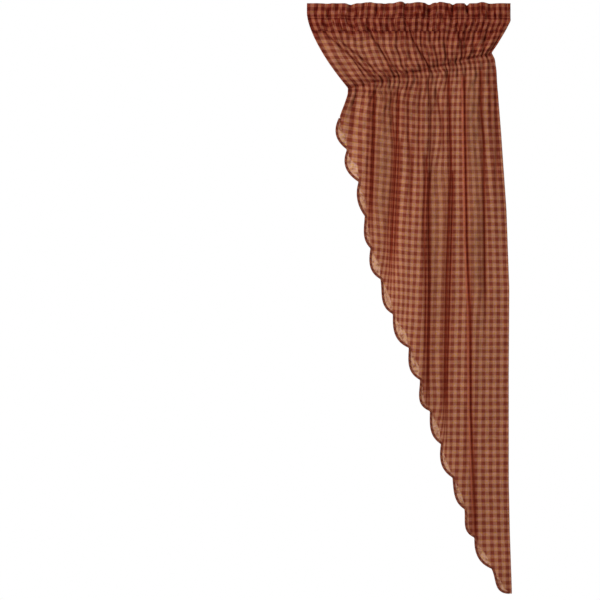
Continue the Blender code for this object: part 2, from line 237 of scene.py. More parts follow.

# Painted light and shade: soft patches of the cloth painted paler, or darker where the amount is
# negative.
LIGHT_AND_SHADE_PATCHES = np.array((
    # x, drop, half width, half height, amount
    (-63, 927, 60, 200, 0.2),
    (-6, 723, 40, 150, 0.11),
    (-6, 1153, 35, 100, 0.14),
    (-157, 501, 26, 150, 0.12),
    (37, 368, 50, 60, -0.08),
    (-207, 347, 20, 80, -0.08),
    (213, 1770, 45, 120, -0.1),
    (352, 2075, 30, 50, -0.15),
    (62, 1351, 30, 80, -0.06),
    (130, 1451, 30, 60, 0.09),
    (245, 150, 30, 30, 0.18),
    (144, 157, 30, 30, 0.12),
    (345, 1140, 12, 250, 0.1),
)) / (MM, MM, MM, MM, 1)

# How each table's creases fade in and out along their paths, and how narrow they are.
SKIRT_STYLE = (0.030, 0.240, 1.0)
FAN_STYLE = (0.030, 0.030, 0.75)
RUFFLE_STYLE = (0.001, 0.010, 0.80)

# How much of its depth a crease's groove and step take, and how far its lip and shelf reach.
GROOVE_SHARE = 0.30
STEP_SHARE = 0.55
STEP_WIDTH = 0.010
LIP_REACH = 0.035
SHELF_REACH = 0.055

# A crease's reddened band of painted shade. Creases whose lip and shelf make a high step get a painted
# highlight along their crest.
BAND_MIDDLE = 0.0015
BAND_LEFT = 0.005
BAND_RIGHT = 0.0075
FULL_DEPTH = 0.013
HIGH_STEP = 0.0055

# Near the scalloped edge the cloth is stiffer, and turns back a little.
EDGE_STIFFNESS = 0.80
EDGE_REACH = 0.062
EDGE_ROLL = 0.013

# The puckers of the seams, the coarse and fine gathers of the waist, and the waist's own groove, with
# the cloth that sags forward above and below it.
PUCKER_COUNT = 54
PUCKER_DEPTH = 0.0030
GATHERS = (
    # count, half width, depth, reach above, reach below
    (29, 0.0060, 0.0062, 0.040, 0.075),
    (61, 0.0034, 0.0052, 0.024, 0.030),
)
WAIST_GROOVE = 0.0030
FAN_SAG = 0.0070
SKIRT_SAG = 0.0040

# Broad waves between the creases, and the crumple of soft cotton.
SWELLS = (
    # waves across the cloth, phase, height
    (3.3, 0.10, 0.0045),
    (7.7, 0.55, 0.0025),
)
CRUMPLES = (
    # waves across the cloth, waves to a metre of drop, phase, height
    (11.0, 9.0, 0.3, 0.0010),
    (17.0, -13.0, 1.7, 0.0008),
    (29.0, 7.0, 4.1, 0.0005),
    (23.0, 21.0, 2.6, 0.0005),
)

# How far to either side a fold is looked for, and the depth of one that gets the full painted shade.
FOLD_REACHES = (0.007, 0.012, 0.018)
DEEP_FOLD = 0.007

# The panel's mesh: its columns, its lowest row, and the steps between its rows, each down to a row.
PANEL_COLUMNS = 262
LAST_ROW = 2.1175
ROW_STEPS = ((0.19, 0.0045), (0.30, 0.0030), (0.45, 0.0050), (9.0, 0.0085))

# The stations down the heading's front, closest at its two seams.
HEADING_COLUMNS = 300
FRONT_DROPS = np.concatenate((
    np.linspace(0.0, RUFFLE_DROP, 13)[:-1],
    RUFFLE_DROP + (SLEEVE_DROP - RUFFLE_DROP) * (0.5 - 0.5 * np.cos(np.linspace(0.0, math.pi, 21))),
))

# The folded bias strip's section, in millimetres, and the stitches.
BINDING_SECTION = (
    # inset from the outermost line, distance in front of the cloth
    (9.2, 0.4), (8.6, 1.1), (6.0, 1.4), (2.5, 1.5), (0.6, 1.1), (0.0, 0.3),
    (0.0, -0.3), (0.6, -1.1), (2.5, -1.5), (6.0, -1.4), (8.6, -1.1), (9.2, -0.4),
)
STRIP_WIDTH = 0.026
STITCH = 0.0030
STITCH_GAP = 0.0012
STITCH_RADIUS = 0.00032
STITCH_SIDES = 5
STITCH_SECTIONS = (
    # share of the stitch, height above the cloth in radii, size in radii
    (0.0, -0.4, 0.5), (0.2, 0.7, 1.0), (0.5, 1.0, 1.05), (0.8, 0.7, 1.0), (1.0, -0.4, 0.5),
)
FORWARD = np.array((0.0, -1.0, 0.0))

# Rows of stitches: the drops of the seams', the waist's off its line, the hems' columns and feet, and
# the binding's inset and the front that it is sewn through.
SEAM_ROWS = (RUFFLE_DROP, SLEEVE_DROP - 0.0015)
WAIST_ROWS = (-0.0025, 0.0025)
HEM_ROWS = ((LONG_HEM, 2.085), (SHORT_HEM, 0.405))
BINDING_ROW = BINDING_WIDTH - 0.0016
BINDING_FRONT = 0.0014


def smooth(low, high, value):
    """Go smoothly from 0 at low to 1 at high, even when high is the smaller."""
    share = np.clip((value - low) / (high - low), 0, 1)
    return share * share * (3 - 2 * share)


def near(value, middle, reach, power=2.0):
    """1 at a middle, and falling away over a reach on either side."""
    return np.exp(-(np.abs(value - middle) / reach) ** power)


def soft_interp(value, places, results, blur=0.02):
    """Read results between their places, with the corners rounded off."""
    shifts = (-1.0, -0.5, 0.0, 0.5, 1.0)
    return sum(np.interp(value + shift * blur, places, results) for shift in shifts) / len(shifts)


def groove(distance, half_width):
    """A soft trough, 1 deep at its middle and 0 past its half width."""
    share = np.clip(np.abs(distance) / half_width, 0, 1)
    return 0.5 + 0.5 * np.cos(math.pi * share)


def sharp_groove(distance, half_width):
    """A trough with a sharp bottom and rounded shoulders."""
    share = np.abs(distance) / half_width
    return 1.12 * np.exp(-1.1 * np.sqrt(share * share + 0.03) ** 1.3)


def uneven(index, least, spread, rate, phase):
    """A size that wanders from one small fold to the next."""
    return least + spread * math.sin(rate * index + phase) ** 2


def gaps(points, axis):
    """The distances between neighbouring points of a grid."""
    return np.linalg.norm(np.diff(points, axis=axis), axis=-1)


def running(steps, start=0.0):
    """How far along its steps each place lies, from a start."""
    return start + np.concatenate((np.zeros_like(steps[:1]), np.cumsum(steps, axis=0)))


def blurred(values, reach):
    """Soften a grid down its columns, over a reach in rows either way."""
    for _ in range(2):
        ends = [np.repeat(end, reach, axis=0) for end in (values[:1], values[-1:])]
        sums = running(np.concatenate((ends[0], values, ends[1])))
        values = (sums[2 * reach + 1:] - sums[:-2 * reach - 1]) / (2 * reach + 1)
    return values


def halving(low, high, is_left):
    """Close in on the values where a test stops being true."""
    for _ in range(40):
        middle = 0.5 * (low + high)
        left = is_left(middle)
        low, high = np.where(left, middle, low), np.where(left, high, middle)
    return 0.5 * (low + high)


def waist_drop(q):
    """The drop of the shirring line at a column."""
    return WAIST_DROP_LEFT + q * (WAIST_DROP_RIGHT - WAIST_DROP_LEFT)


def below_waist(q, drop):
    """How far under the shirring line a place lies."""
    return drop - waist_drop(q)


def column_x(q, drop):
    """Where a column of the cloth lies along the rod at a drop."""
    below = below_waist(q, drop)
    blur = 0.02 * smooth(0, 0.08, below)
    first, last = (soft_interp(below, SKIRT_SIDES[:, 0], SKIRT_SIDES[:, side], blur) for side in (1, 2))
    start = FAN_START[0] + FAN_START[1] * q
    share = np.clip((drop / waist_drop(q) - start) / (1 - start), 0, 1)
    drawn_in = share ** (FAN_CURVE[0] + FAN_CURVE[1] * q)
    at_top = (q - 0.5) * HEADING_WIDTH
    at_waist = WAIST_LEFT + q * (WAIST_RIGHT - WAIST_LEFT)
    return np.where(below >= 0, first + q * (last - first), at_top + drawn_in * (at_waist - at_top))


def column_at(x, drop):
    """The column that lies at x at a drop."""
    return halving(np.full_like(x, -0.2), np.full_like(x, 1.2), lambda q: column_x(q, drop) < x)


def from_edge(q, drop):
    """How far inside the scalloped edge's notches a place lies."""
    return column_x(q, drop) - np.interp(drop, NOTCHES[:, 0], NOTCHES[:, 1])


def freedom(q, drop):
    """How free the cloth is to crease: less near the binding."""
    stiffness = smooth(0.3, NOTCHES[0, 0], drop) * (1 - smooth(0, EDGE_REACH, from_edge(q, drop)))
    return 1 - EDGE_STIFFNESS * stiffness


def crease_relief(creases, q, drop, style):
    """What a table's creases do at each place.

    Grooves and steps move the cloth back. Bands get painted shade, reddened; a high step's ridge gets a
    painted highlight; and the lee to a crease's right gets painted shade that dulls it. Folds are the
    cloth folded away, for each metre of width.
    """
    fade_in, fade_out, narrowness = style
    x = column_x(q, drop)
    grooves, steps, crease_shade, crest_highlights, lee_shades, folds = np.zeros((6, *drop.shape))
    for path, *sizes in creases:
        places, drops = np.array(path).T / MM
        depth, lip, shelf, shade_reach, folded = np.array(sizes) / MM
        half_width = narrowness * (0.004 + 0.25 * depth)
        fade_limit = 0.4 * (drops[-1] - drops[0])
        strength = smooth(drops[0], drops[0] + min(fade_in, fade_limit), drop)
        strength *= 1 - smooth(drops[-1] - min(fade_out, fade_limit), drops[-1], drop)
        off = x - soft_interp(drop, drops, places)
        grooves = np.maximum(grooves, GROOVE_SHARE * depth * strength * sharp_groove(off, half_width))
        left = smooth(0.5 * STEP_WIDTH, -0.5 * STEP_WIDTH, off)
        steps += STEP_SHARE * strength * (
            (1 - left) * shelf * np.exp(-np.maximum(off, 0) / SHELF_REACH)
            - left * lip * np.exp(np.minimum(off, 0) / LIP_REACH)
        )
        # Painted shade: a reddened band along the crease, reaching further on its left.
        reach = narrowness * np.where(off < BAND_MIDDLE, BAND_LEFT + shade_reach, BAND_RIGHT)
        shade_band = min(1, depth / FULL_DEPTH) * near(off, BAND_MIDDLE, reach, 1.8)
        crease_shade = np.maximum(crease_shade, shade_band * strength)
        folds += folded * strength * near(off, 0, half_width) / (half_width * math.sqrt(math.pi))
        # A painted highlight along the ridge of a high step, and painted shade in its lee.
        if lip + shelf > HIGH_STEP:
            crest_highlights += strength * smooth(0.004, 0.005, lip) * near(off, -0.0075, 0.003)
            lying = smooth(0.002, 0.008, off) * smooth(1.5 * SHELF_REACH, 1.1 * SHELF_REACH, off)
            lee_shades = np.maximum(lee_shades, strength * lying)
    return grooves, steps, crease_shade, crest_highlights, lee_shades, folds


def creasing(q, drop):
    """All the creases together, softer on the sleeve and near the scalloped edge."""
    skirt = crease_relief(SKIRT_CREASES, q, drop, SKIRT_STYLE)
    fan = crease_relief(FAN_CREASES, q, drop, FAN_STYLE)
    pressed = crease_relief(RUFFLE_CREASES, q, drop, RUFFLE_STYLE)
    under_sleeve = 0.65 + 0.35 * smooth(SLEEVE_DROP - 0.005, SLEEVE_DROP + 0.03, drop)
    seamed = under_sleeve * smooth(RUFFLE_DROP, RUFFLE_DROP + 0.012, drop)
    share = seamed * freedom(q, drop)
    return (
        np.maximum(skirt[0], 2 * fan[0]) * share + 1.5 * pressed[0],
        (skirt[1] + 1.6 * fan[1]) * share + 1.3 * pressed[1],
        np.maximum(np.maximum(skirt[2], fan[2]) * seamed, pressed[2]),
        skirt[3] * share,
        skirt[4] * (1 - 0.6 * smooth(0.9, 1.15, drop)) * (1 - smooth(1.25, 1.45, drop)),
        skirt[5] + fan[5],
    )


def ruffle(q, column):
    """The heading's folds, or the dips of its top edge."""
    return sum(fold[column] * groove(q - fold[0], fold[1]) for fold in RUFFLE_FOLDS)


def puckers(q, drop):
    """The small puckers either side of the ruffle's seam and the sleeve's."""
    waves = sum(
        uneven(index, 0.35, 0.65, 2.3, 0.5)
        * groove(q - (index + 0.5 + 0.3 * math.sin(3.1 * index)) / PUCKER_COUNT, 0.45 / PUCKER_COUNT)
        for index in range(PUCKER_COUNT)
    )
    seams = near(drop, RUFFLE_DROP, 0.012, 1.5) + 0.55 * near(drop, SLEEVE_DROP, 0.014, 1.5)
    return PUCKER_DEPTH * waves * seams


def gathers(q, drop):
    """The shirring's small folds, uneven in height and reach."""
    below = below_waist(q, drop)
    width = column_x(1, drop) - column_x(0, drop)
    waves = np.zeros_like(drop)
    for count, half_width, depth, reach_above, reach_below in GATHERS:
        for index in range(count):
            shift = 0.3 * math.sin(2.4 * index) + 0.16 * math.sin(5.1 * index + 1.0)
            middle = (index + 0.5 + shift) / count
            lean = 0.12 * math.sin(1.9 * index + 0.7)
            up = reach_above * uneven(index, 0.45, 1.1, 3.3, 2.0)
            down = reach_below * uneven(index, 0.35, 1.3, 4.7, 0.5)
            strength = depth * uneven(index, 0.45, 0.55, 1.7, 0.4) * near(
                below, 0, np.where(below < 0, up, down), 1.8)
            waves += strength * sharp_groove((q - middle - lean * below) * width, half_width)
    return waves


def shirring(q, drop):
    """The groove of the waist, and the cloth that sags forward above and below it."""
    below = below_waist(q, drop)
    fan = FAN_SAG * near(below, -0.022, 0.017) * (1 - 0.55 * smooth(0.45, 0.75, q))
    return WAIST_GROOVE * near(below, 0, 0.006) - fan - SKIRT_SAG * near(below, 0.022, 0.018)


def swell(q, drop):
    """The broad waves between the creases, flat again near the tip."""
    strength = smooth(0.12, 0.4, drop) * (1 - 0.75 * smooth(0.9, 1.7, drop))
    return strength * sum(high * np.sin(math.tau * (count * q + phase)) for count, phase, high in SWELLS)


def crumple(q, drop):
    """The slight unevenness of soft cotton, strongest in the fan."""
    waves = sum(
        high * np.sin(math.tau * (across * q + down * drop + phase) + 1.3 * np.sin(9 * drop + across * q))
        for across, down, phase, high in CRUMPLES
    )
    return waves * (1.8 - 0.8 * smooth(0.24, 0.34, drop) - 0.55 * smooth(0.3, 0.7, drop))


def relief(q, drop):
    """How far the cloth lies behind the curtain's plane."""
    grooves, steps = creasing(q, drop)[:2]
    free = freedom(q, drop)
    folds = ruffle(q, FOLD_DEPTH) * (1 - 0.55 * smooth(0, RUFFLE_DROP, drop)) * smooth(0.19, 0.1, drop)
    hems = HEM_GROOVE * (groove(q - LONG_HEM, 0.0035) + groove(q - SHORT_HEM, 0.0035))
    inside = np.maximum(from_edge(q, drop), -0.03)
    roll = EDGE_ROLL * smooth(0.32, 0.45, drop) * np.exp(-inside / EDGE_REACH)
    return (
        folds + grooves + steps + (gathers(q, drop) + shirring(q, drop)) * (0.5 + 0.5 * free)
        + puckers(q, drop) + swell(q, drop) + crumple(q, drop) * free + hems + roll
    )


def hang(q, drop):
    """Where points of the cloth hang."""
    return np.stack((column_x(q, drop), relief(q, drop), -drop), axis=-1)


def scallop_edge(inset):
    """The scalloped edge, set in from its outermost line: rows of x, drop and share along the scallop."""
    inset += NOTCH_ROUNDING
    arcs = []
    for (drop, x, swell_share, skew, _), (next_drop, next_x, *_) in zip(NOTCHES, NOTCHES[1:]):
        along = np.array((next_x - x, next_drop - drop))
        length = math.hypot(*along)
        along /= length
        outward = np.array((-along[1], along[0]))
        arc = []
        for share in np.arange(ARC_STEPS + 1) / ARC_STEPS:
            lean = 1 + skew * (2 * share - 1)
            rise = 4 * swell_share * share * (1 - share) * lean
            slope = 4 * swell_share * ((1 - 2 * share) * lean + 2 * skew * share * (1 - share))
            place = (x, drop) + length * share * along + (NOTCH_ROUNDING + length * rise) * outward
            arc.append((place, (outward - slope * along) / math.hypot(1, slope), share))
        arcs.append(arc)
    points = []
    for arc, following in zip(arcs, arcs[1:] + [None]):
        points += [(*(place - inset * normal), share) for place, normal, share in arc]
        if following:
            (end, leaving, _), (start, arriving, _) = arc[-1], following[0]
            for share in np.arange(1, NOTCH_STEPS + 1) / (NOTCH_STEPS + 1):
                turn = leaving + share * (arriving - leaving)
                notch = 0.5 * (start + end) - inset * turn / math.hypot(*turn)
                points.append((*notch, float(share < 0.5)))
    return np.array(points)


def hang_edge(inset):
    """Where the scalloped edge hangs, set in from its outermost line."""
    x, drop, _ = scallop_edge(inset).T
    place = hang(np.minimum(column_at(x, drop), 1.0), drop)
    place[:, 0] = x
    return place


def path_down(points, starts):
    """How far down its column of cloth each point of a grid lies."""
    return running(blurred(gaps(points, 0).T, 14).T, starts)


def from_long_side(points, heights, share_out):
    """How much cloth lies between each point of a grid and the long side."""
    span = gaps(points, 1)
    rise = np.diff(heights, axis=1)
    span = share_out(np.sqrt(np.maximum(span ** 2 - rise ** 2, (0.35 * span) ** 2)))
    return running(span.T[::-1])[::-1].T


def panel_cloth(q, drop, points, starts):
    """Where each point of the panel lies on the flat cloth: across it and down it.

    The cloth between known threads is shared out by the length of its folds. Its rows follow the path
    of the cloth down to the waist, and hang nearly level below it.
    """
    natural = blurred(path_down(points, starts).T, 5).T
    level = drop + SKIRT_TAKE_UP + WEFT_RISE * np.clip(1 - q / WEFT_RISE_REACH, 0, 1.2) ** 1.2
    down = natural + smooth(-0.05, 0.08, below_waist(q, drop)) * (level - natural)
    folds = creasing(q, drop)[5]
    folded = 0.5 * (folds[:, 1:] + folds[:, :-1]) * np.diff(points[..., 0], axis=1)
    length = from_long_side(points, drop, lambda span: span + folded)
    threads = []
    for _, column, places in THREADS:
        path = column_at(np.array(places) / MM, THREAD_DROPS)
        threads.append(np.interp(drop, (waist_drop(column), *THREAD_DROPS), (column, *path)))
    turned = HEM_TURN * smooth(SLEEVE_DROP, 0.3, drop[:, -1])
    cloth = (*(thread[0] / MM for thread in THREADS), CLOTH_WIDTH, CLOTH_WIDTH + 0.1)
    across = np.zeros_like(length)
    for row, row_length in enumerate(length):
        marks = [np.interp(0, q[row] - column[row], row_length) for column in threads]
        marks.append(max(np.interp(0, q[row], row_length), marks[-1] + 0.02))
        marks = (-0.04, 0, *marks, marks[-1] + 0.1)
        across[row] = soft_interp(row_length, marks, (turned[row] - 0.04, turned[row], *cloth))
    return CLOTH_WIDTH - blurred(across, 3), down


def row_drop(q, row):
    """The drop of a mesh row at a column: rows slant with the waist and level out below."""
    above = (row - SLEEVE_DROP) / (MEAN_WAIST_DROP - SLEEVE_DROP)
    slant = np.where(row < MEAN_WAIST_DROP, above, smooth(0.78, 0.33, row))
    return row + (0.5 - q) * (WAIST_DROP_LEFT - WAIST_DROP_RIGHT) * slant


def mesh_rows():
    """The panel's mesh rows, closest near the waist."""
    rows = [SLEEVE_DROP]
    while rows[-1] < LAST_ROW:
        rows.append(rows[-1] + next(step for end, step in ROW_STEPS if rows[-1] < end))
    return np.array(rows[:-1] + [LAST_ROW])


def mesh_columns():
    """The panel's mesh columns, closest where the folds are deep."""
    fine = np.linspace(-0.05, 1.0, 4000)
    length = running(gaps(hang(fine, row_drop(fine, np.full_like(fine, 0.5))), 0))
    length = length / length[-1] + 0.35 * (fine - fine[0])
    return np.interp(np.linspace(length[0], length[-1], PANEL_COLUMNS), length, fine)


def vertex_normals(points, faces):
    """Area-weighted normals of triangles and quads."""
    normals = np.zeros_like(points)
    for size in {len(face) for face in faces}:
        group = np.array([face for face in faces if len(face) == size])
        corners = points[group]
        across = np.cross(corners[:, 2] - corners[:, 0], corners[:, -1] - corners[:, 1])
        for corner in range(size):
            np.add.at(normals, group[:, corner], across)
    return normals / np.maximum(np.linalg.norm(normals, axis=1, keepdims=True), 1e-12)


def ragged_faces(first, columns):
    """The faces between rows that start at different columns, seen from the front."""
    faces = []
    for row, (above, below) in enumerate(zip(first, first[1:])):
        upper, lower = row * columns, (row + 1) * columns
        faces += [(upper + column, lower + below, upper + column + 1) for column in range(above, below)]
        faces += [(upper + above, lower + column, lower + column + 1) for column in range(below, above)]
        faces += [(upper + column, lower + column, lower + column + 1, upper + column + 1)
                  for column in range(max(above, below), columns - 1)]
    return faces


def tube_faces(rings, sides, base=0):
    """The faces of a closed tube of rings, with its two ends."""
    faces = []
    for ring in range(base, base + (rings - 1) * sides, sides):
        for side in range(sides):
            this, following = ring + side, ring + (side + 1) % sides
            faces.append((this, following, following + sides, this + sides))
    first = range(base, base + sides)
    return faces + [tuple(first)[::-1], tuple(index + (rings - 1) * sides for index in first)]


def add_object(name, data):
    """Put an object in the scene."""
    added = bpy.data.objects.new(name, data)
    bpy.context.scene.collection.objects.link(added)
    return added


def make_piece(name, points, faces, material):
    """Make a mesh object from points and faces."""
    mesh = bpy.data.meshes.new(name)
    mesh.from_pydata(points.tolist(), [], faces)
    mesh.materials.append(material)
    mesh.shade_smooth()
    return add_object(name, mesh)


def add_maps(mesh, cloth, laid_out):
    """Give a mesh its two maps: its place on the flat cloth, and all of it laid out apart."""
    for name, corners in (("cloth", cloth), ("OFBake", laid_out)):
        mesh.uv_layers.new(name=name).data.foreach_set("uv", corners.ravel())
    mesh.uv_layers["cloth"].active_render = True


def make_sheet(name, grid, first, across, down, fields, material):
    """Make a closed thin sheet from a grid of places whose rows start at their first columns."""
    faces = ragged_faces(first, grid.shape[1])
    kept = np.unique([index for face in faces for index in face])
    count = len(kept)
    renumber = dict(zip(kept.tolist(), range(count)))
    faces = [tuple(renumber[index] for index in face) for face in faces]
    points = grid.reshape(-1, 3)[kept]
    lift = 0.5 * CLOTH_THICKNESS * vertex_normals(points, faces)
    back = [tuple(index + count for index in face[::-1]) for face in faces]
    edges = dict.fromkeys(edge for face in faces for edge in zip(face, face[1:] + face[:1]))
    rim = [(end, start, start + count, end + count) for start, end in edges if (end, start) not in edges]
    piece = make_piece(name, np.concatenate((points + lift, points - lift)), faces + back + rim, material)
    mesh = piece.data
    corners = np.zeros(len(mesh.loops), dtype=np.int64)
    mesh.loops.foreach_get("vertex_index", corners)
    cloth = np.stack((across.ravel(), -down.ravel()), axis=1)[kept]
    front_map = 0.01 + (cloth - cloth.min(axis=0)) / np.ptp(cloth, axis=0) * (0.475, 0.955)
    laid_out = np.concatenate((front_map, front_map + (0.5, 0)))[corners]
    ends = 0.01 + 0.98 * (np.arange(len(rim))[:, None] + (0.9, 0, 0, 0.9)) / len(rim)
    heights = np.broadcast_to((0.98, 0.98, 0.99, 0.99), ends.shape)
    laid_out[-4 * len(rim):] = np.stack((ends, heights), axis=-1).reshape(-1, 2)
    add_maps(mesh, cloth[corners % count], laid_out)
    for field, values in fields.items():
        layer = mesh.attributes.new(field, "FLOAT", "POINT")
        layer.data.foreach_set("value", np.tile(values.ravel()[kept], 2))
    mesh.validate()
    return piece


def panel_grid():
    """The panel's mesh, with rows that start on the scalloped edge."""
    rows, columns = mesh_rows(), mesh_columns()
    q, row = np.meshgrid(columns, rows)
    drop = row_drop(q, row)
    points = hang(q, drop)
    across, down = panel_cloth(q, drop, points, sleeve_path(columns)[-1])
    edge = scallop_edge(0.5 * BINDING_WIDTH)

    def left_of_edge(first_q):
        first_drop = row_drop(first_q, rows)
        scallops = np.interp(first_drop, edge[:, 1], edge[:, 0])
        return np.where(first_drop < NOTCHES[0, 0], first_q < 0, column_x(first_q, first_drop) < scallops)

    first_q = halving(np.full(len(rows), -0.045), np.ones(len(rows)), left_of_edge)
    first = np.minimum(np.abs(columns - first_q[:, None]).argmin(axis=1), len(columns) - 2)
    first_points = hang(first_q, row_drop(first_q, rows))
    for index, column in enumerate(first):
        points[index, column] = first_points[index]
        for grid in (across, down, drop, q):
            grid[index, column] = np.interp(first_q[index], columns, grid[index])
    return q, drop, points, first, across, down


def crescent_field(q, drop):
    """How far inside a scallop's crescent of painted highlight each point lies."""
    edge = scallop_edge(BINDING_WIDTH)
    x = column_x(q, drop)
    field = np.full(x.shape, -0.05)
    inside = x - np.interp(drop, edge[:, 1], edge[:, 0])
    for index in zip(*np.nonzero((inside > -0.03) & (inside < 0.06) & (drop > NOTCHES[0, 0] - 0.01))):
        away = np.hypot(edge[:, 0] - x[index], edge[:, 1] - drop[index])
        closest = np.argmin(away)
        wide = NOTCHES[closest // (ARC_STEPS + 1 + NOTCH_STEPS), 4]
        bulge = math.sin(math.pi * edge[closest, 2] ** 1.35) ** 0.8
        field[index] = wide * bulge - away[closest] - 0.001
    return field


def heading_layer(q, drop, back=False):
    """A layer of the ruffle and the sleeve. The back one's folds are shallower."""
    share = np.clip((drop - RUFFLE_DROP) / (SLEEVE_DROP - RUFFLE_DROP), 0, 1)
    bow = SLEEVE_BOW * np.sin(math.pi * share ** 0.75) ** 1.4
    opening = np.sin(math.pi * np.clip(drop / RUFFLE_DROP, 0, 1)) * (0.6 + 0.4 * np.sin(21.0 * q))
    apart = bow + OPENING * opening
    dip = ruffle(q, FOLD_DIP) * (1 - smooth(0, 0.6 * RUFFLE_DROP, drop))
    y = relief(q, drop)
    if back:
        y = y * (1 - 0.45 * np.sin(math.pi * share)) + apart + LAYER_GAP
    else:
        y = y - apart - LAYER_GAP * (1 - smooth(0, 1, share))
    return np.stack((column_x(q, drop), y, -drop - dip), axis=-1)


def sleeve_path(q):
    """The distances down the heading's front, at its stations."""
    q, drop = np.meshgrid(q, FRONT_DROPS)
    tuck = TUCK * smooth(RUFFLE_DROP - 0.004, RUFFLE_DROP + 0.001, drop)
    return running(gaps(heading_layer(q, drop), 0)) + tuck


def heading_grid():
    """The heading's mesh: up the back, over the top edge and down the front.

    The gathers too fine to model take up what cloth is left over, more of it on the long side.
    """
    columns = np.linspace(0, 1, HEADING_COLUMNS)
    back_drops = np.concatenate(((SLEEVE_DROP + 0.003,), FRONT_DROPS[-2:0:-1]))
    back = heading_layer(*np.meshgrid(columns, back_drops), back=True)
    front = heading_layer(*np.meshgrid(columns, FRONT_DROPS))
    front[0, :, 1] += LAYER_GAP
    crown = len(back) + 1
    shoulders = [front[:1] + (0, side * 0.8 * LAYER_GAP, -0.0007) for side in (1, -1)]
    points = np.concatenate((back, shoulders[0], front[:1], shoulders[1], front[1:]))
    drops = np.concatenate((back_drops, np.zeros(3), FRONT_DROPS[1:]))
    down = path_down(points, 0)
    down -= down[crown]
    down[crown + 2:] = sleeve_path(columns)[1:]
    crowding = 1 + 0.27 * (np.linspace(0, 1, len(columns) - 1) - 0.5)
    across = from_long_side(front, path_down(front, 0), lambda span: span * crowding)
    across = CLOTH_WIDTH - blurred(across * CLOTH_WIDTH / across[:, :1], 5)
    across = np.concatenate((np.repeat(across[:1], crown + 2, axis=0), across[1:]))
    return columns, drops, points, across, down


def fold_depth(points):
    """How deep in a fold each point lies: how far behind its neighbours across the cloth."""
    x, y = points[..., 0], points[..., 1]
    depth = np.zeros(x.shape)
    for reach in FOLD_REACHES:
        beside = [np.stack([np.interp(row_x + step, row_x, row_y) for row_x, row_y in zip(x, y)])
                  for step in (-reach, reach)]
        depth = np.maximum(depth, y - np.maximum(*beside))
    return np.clip(depth / DEEP_FOLD, 0, 1)


def painted_light_and_shade(q, drop):
    """How much painted light each point gets, or painted shade where it is negative."""
    x = column_x(q, drop)
    return sum(amount * near(x, middle, wide) * near(drop, height, tall)
               for middle, height, wide, tall, amount in LIGHT_AND_SHADE_PATCHES)


def close_cloth_shade(q, drop):
    """Painted shade of cloth that lies double or in gathers: 0 where it hangs single and flat, near 1 in
    the gathers.
    """
    below = below_waist(q, drop)
    fan = (0.15 + 0.5 * smooth(0.25, 0.7, q)) * smooth(0.02, -0.01, below)
    top = smooth(SLEEVE_DROP + 0.048, SLEEVE_DROP - 0.012, drop)
    waist = 0.6 * near(below, 0, 0.045, 1.3)
    sides = 0.25 * smooth(0.02, 0.012, q) + 0.25 * smooth(0.98, 0.986, q)
    return np.clip(np.maximum(fan, waist) + top + sides, 0, 1)


def srgb(red, green, blue):
    """A colour from its usual 0 to 255 values."""
    values = (value / 255.0 for value in (red, green, blue))
    return (*(v / 12.92 if v <= 0.04045 else ((v + 0.055) / 1.055) ** 2.4 for v in values), 1.0)


class Shading:
    """A material's node tree, built in short calls."""

    def __init__(self, name, roughness=0.9):
        self.material = bpy.data.materials.new(name)
        self.material.use_nodes = True
        self.tree = self.material.node_tree
        self.set("Roughness", roughness)

    def put(self, socket, value):
        if isinstance(value, bpy.types.NodeSocket):
            self.tree.links.new(value, socket)
        else:
            socket.default_value = value

    def set(self, socket, value):
        self.put(self.tree.nodes["Principled BSDF"].inputs[socket], value)

    def node(self, kind, values=None, **settings):
        """Add a node with its inputs and settings. Gives its outputs."""
        made = self.tree.nodes.new("ShaderNode" + kind)
        for key, value in settings.items():
            setattr(made, key, value)
        for key, value in (values or {}).items():
            self.put(made.inputs[key], value)
        return made.outputs

    def math(self, operation, *values, clamp=False):
        return self.node("Math", dict(enumerate(values)), operation=operation, use_clamp=clamp)[0]

    def times(self, first, second):
        return self.math("MULTIPLY", first, second)

    def line(self, value, slope, start, **options):
        return self.math("MULTIPLY_ADD", value, slope, start, **options)

    def wave(self, value, length):
        return self.math("SINE", self.times(value, math.tau / length))

    def mix(self, factor, first, second, blend="MIX"):
        values = {0: factor, 6: first, 7: second}
        return self.node("Mix", values, data_type="RGBA", blend_type=blend)[2]

    def ramp(self, value, low, high, to_low=0.0, to_high=1.0):
        values = {0: value, 1: low, 2: high, 3: to_low, 4: to_high}
        return self.node("MapRange", values, interpolation_type="SMOOTHSTEP")[0]

    def noise(self, vector, scale, detail=2.0, roughness=0.5):
        values = {"Vector": vector, "Scale": scale, "Detail": detail, "Roughness": roughness}
        return self.node("TexNoise", values)[0]

    def attribute(self, name):
        return self.node("Attribute", attribute_name=name)["Fac"]

    def place(self):
        """The place on the flat cloth, as a whole and as its two parts."""
        whole = self.node("UVMap", uv_map="cloth")[0]
        return whole, *self.node("SeparateXYZ", {0: whole})[:2]

    def finish(self, colour, height, strength):
        """Set the colour and bumps of dry cotton."""
        self.set("Base Color", colour)
        self.set("Specular IOR Level", 0.06)
        self.set("Sheen Weight", 0.04)
        values = {"Height": height, "Strength": strength, "Distance": 0.0004}
        self.set("Normal", self.node("Bump", values)[0])
        return self.material


# The cloth's colours where it hangs single and flat, paler with painted light shining through it, and
# where it is double or gathered close, darker with painted shade: both yarns pale, the weft dark, the
# warp dark, and both dark.
YARNS_LIT_THROUGH = (srgb(173, 119, 90), srgb(150, 91, 68), srgb(148, 88, 65), srgb(118, 52, 37))
YARNS_SHADED_CLOSE = (srgb(156, 94, 69), srgb(132, 66, 48), srgb(120, 52, 37), srgb(88, 23, 14))
